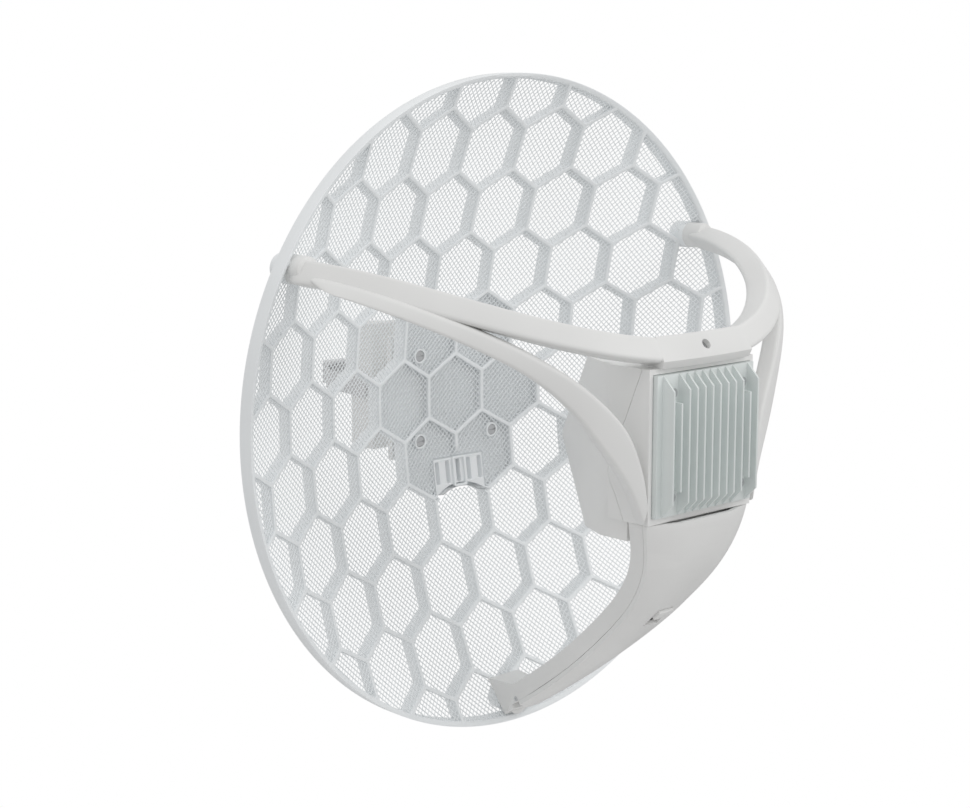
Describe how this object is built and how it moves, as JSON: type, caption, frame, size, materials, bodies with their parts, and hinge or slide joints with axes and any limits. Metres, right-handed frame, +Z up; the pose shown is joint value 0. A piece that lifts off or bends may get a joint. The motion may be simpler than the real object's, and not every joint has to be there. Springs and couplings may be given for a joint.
{
  "type": "parabolic grid antenna",
  "caption": "Round dished grid reflector with hexagonal ribs over a wire screen, a finned feed unit carried in front on three arms, and a tilting clamp bracket for a pole behind.",
  "frame": {"origin": "on the axis of the pole that the clamp grips, at half the height of the clamp band", "axes": "+Z up along the pole, -Y forward from the pole through the dish to the feed unit, +X to the right seen from in front"},
  "size_m": [0.391, 0.3348, 0.391],
  "materials": {
    "grid_plastic": "fine satin white-grey moulded plastic",
    "screen_wire": "powder-coated light grey woven wire",
    "screw_steel": "zinc-plated steel",
    "arm_plastic": "satin off-white plastic",
    "housing_plastic": "satin off-white plastic",
    "cover_plastic": "satin off-white plastic",
    "bracket_plastic": "satin off-white glass-filled plastic",
    "heatsink_aluminium": "bead-blasted cast aluminium",
    "gasket_rubber": "black moulded rubber",
    "pad_rubber": "soft blue-grey heat-conducting pad",
    "can_steel": "tinned sheet steel",
    "board_laminate": "green board with solder mask",
    "card_laminate": "blue board with solder mask",
    "slot_plastic": "black moulded plastic",
    "socket_steel": "plated shell with dark inside",
    "button_plastic": "black moulded plastic",
    "card_plastic": "white card with gold contacts",
    "plate_aluminium": "plain sheet aluminium",
    "element_laminate": "pale laminate with a copper patch",
    "lead_jacket": "thin black jacket",
    "clamp_steel": "bright stainless steel strip"
  },
  "bodies": {
    "pole_mount": {"pole_bracket": "bracket_plastic", "clamp_band": "clamp_steel", "clamp_housing": "clamp_steel"},
    "worm_screw": {"clamp_screw": "clamp_steel"},
    "antenna": {"reflector_frame": "grid_plastic", "reflector_screen": "screen_wire", "bracket_screws": "screw_steel", "arm_foot_screws": "screw_steel", "right_arm": "arm_plastic", "left_arm": "arm_plastic", "top_saddle": "arm_plastic", "saddle_screw": "screw_steel", "feed_housing": "housing_plastic", "rear_cover": "housing_plastic", "heatsink": "heatsink_aluminium", "heatsink_screws": "screw_steel", "heatsink_gasket": "gasket_rubber", "thermal_pad": "pad_rubber", "shield_can": "can_steel", "main_board": "board_laminate", "modem_card": "card_laminate", "modem_slot": "slot_plastic", "network_socket": "socket_steel", "reset_switch": "slot_plastic", "card_holder": "can_steel", "feed_reflector_plate": "plate_aluminium", "feed_element": "element_laminate", "feed_leads": "lead_jacket", "cable_arm": "arm_plastic", "cover_hinge_pin": "screw_steel", "rear_bracket": "bracket_plastic", "tilt_bolt": "screw_steel", "tilt_nut": "screw_steel", "tilt_washers": "screw_steel"},
    "cable_cover": {"cable_cover": "cover_plastic"},
    "cover_latch": {"cover_latch": "cover_plastic"},
    "reset_button": {"reset_button": "button_plastic"},
    "subscriber_card": {"subscriber_card": "card_plastic"}
  },
  "joints": [
    {"name": "antenna_tilt", "type": "hinge", "parent": "pole_mount", "child": "antenna", "pos_m": [0, -0.053, 0], "axis": [1, 0, 0], "range_deg": [-20, 20]},
    {"name": "worm_turn", "type": "hinge", "parent": "pole_mount", "child": "worm_screw", "pos_m": [0, 0.0304, 0], "axis": [1, 0, 0], "continuous": true},
    {"name": "cover_swing", "type": "hinge", "parent": "antenna", "child": "cable_cover", "pos_m": [0, -0.15282, -0.17869], "axis": [1, 0, 0], "range_deg": [0, 50]},
    {"name": "latch_press", "type": "slide", "parent": "cable_cover", "child": "cover_latch", "axis": [0, 0.7136, 0.7006], "range_m": [0, 0.0015], "stiffness_N_per_m": 400, "springref_m": -0.0005},
    {"name": "button_press", "type": "slide", "parent": "antenna", "child": "reset_button", "axis": [0, 0, 1], "range_m": [0, 0.0008], "stiffness_N_per_m": 500, "springref_m": -0.0005},
    {"name": "card_slide", "type": "slide", "parent": "antenna", "child": "subscriber_card", "axis": [0, 0, -1], "range_m": [0, 0.014]}
  ]
}
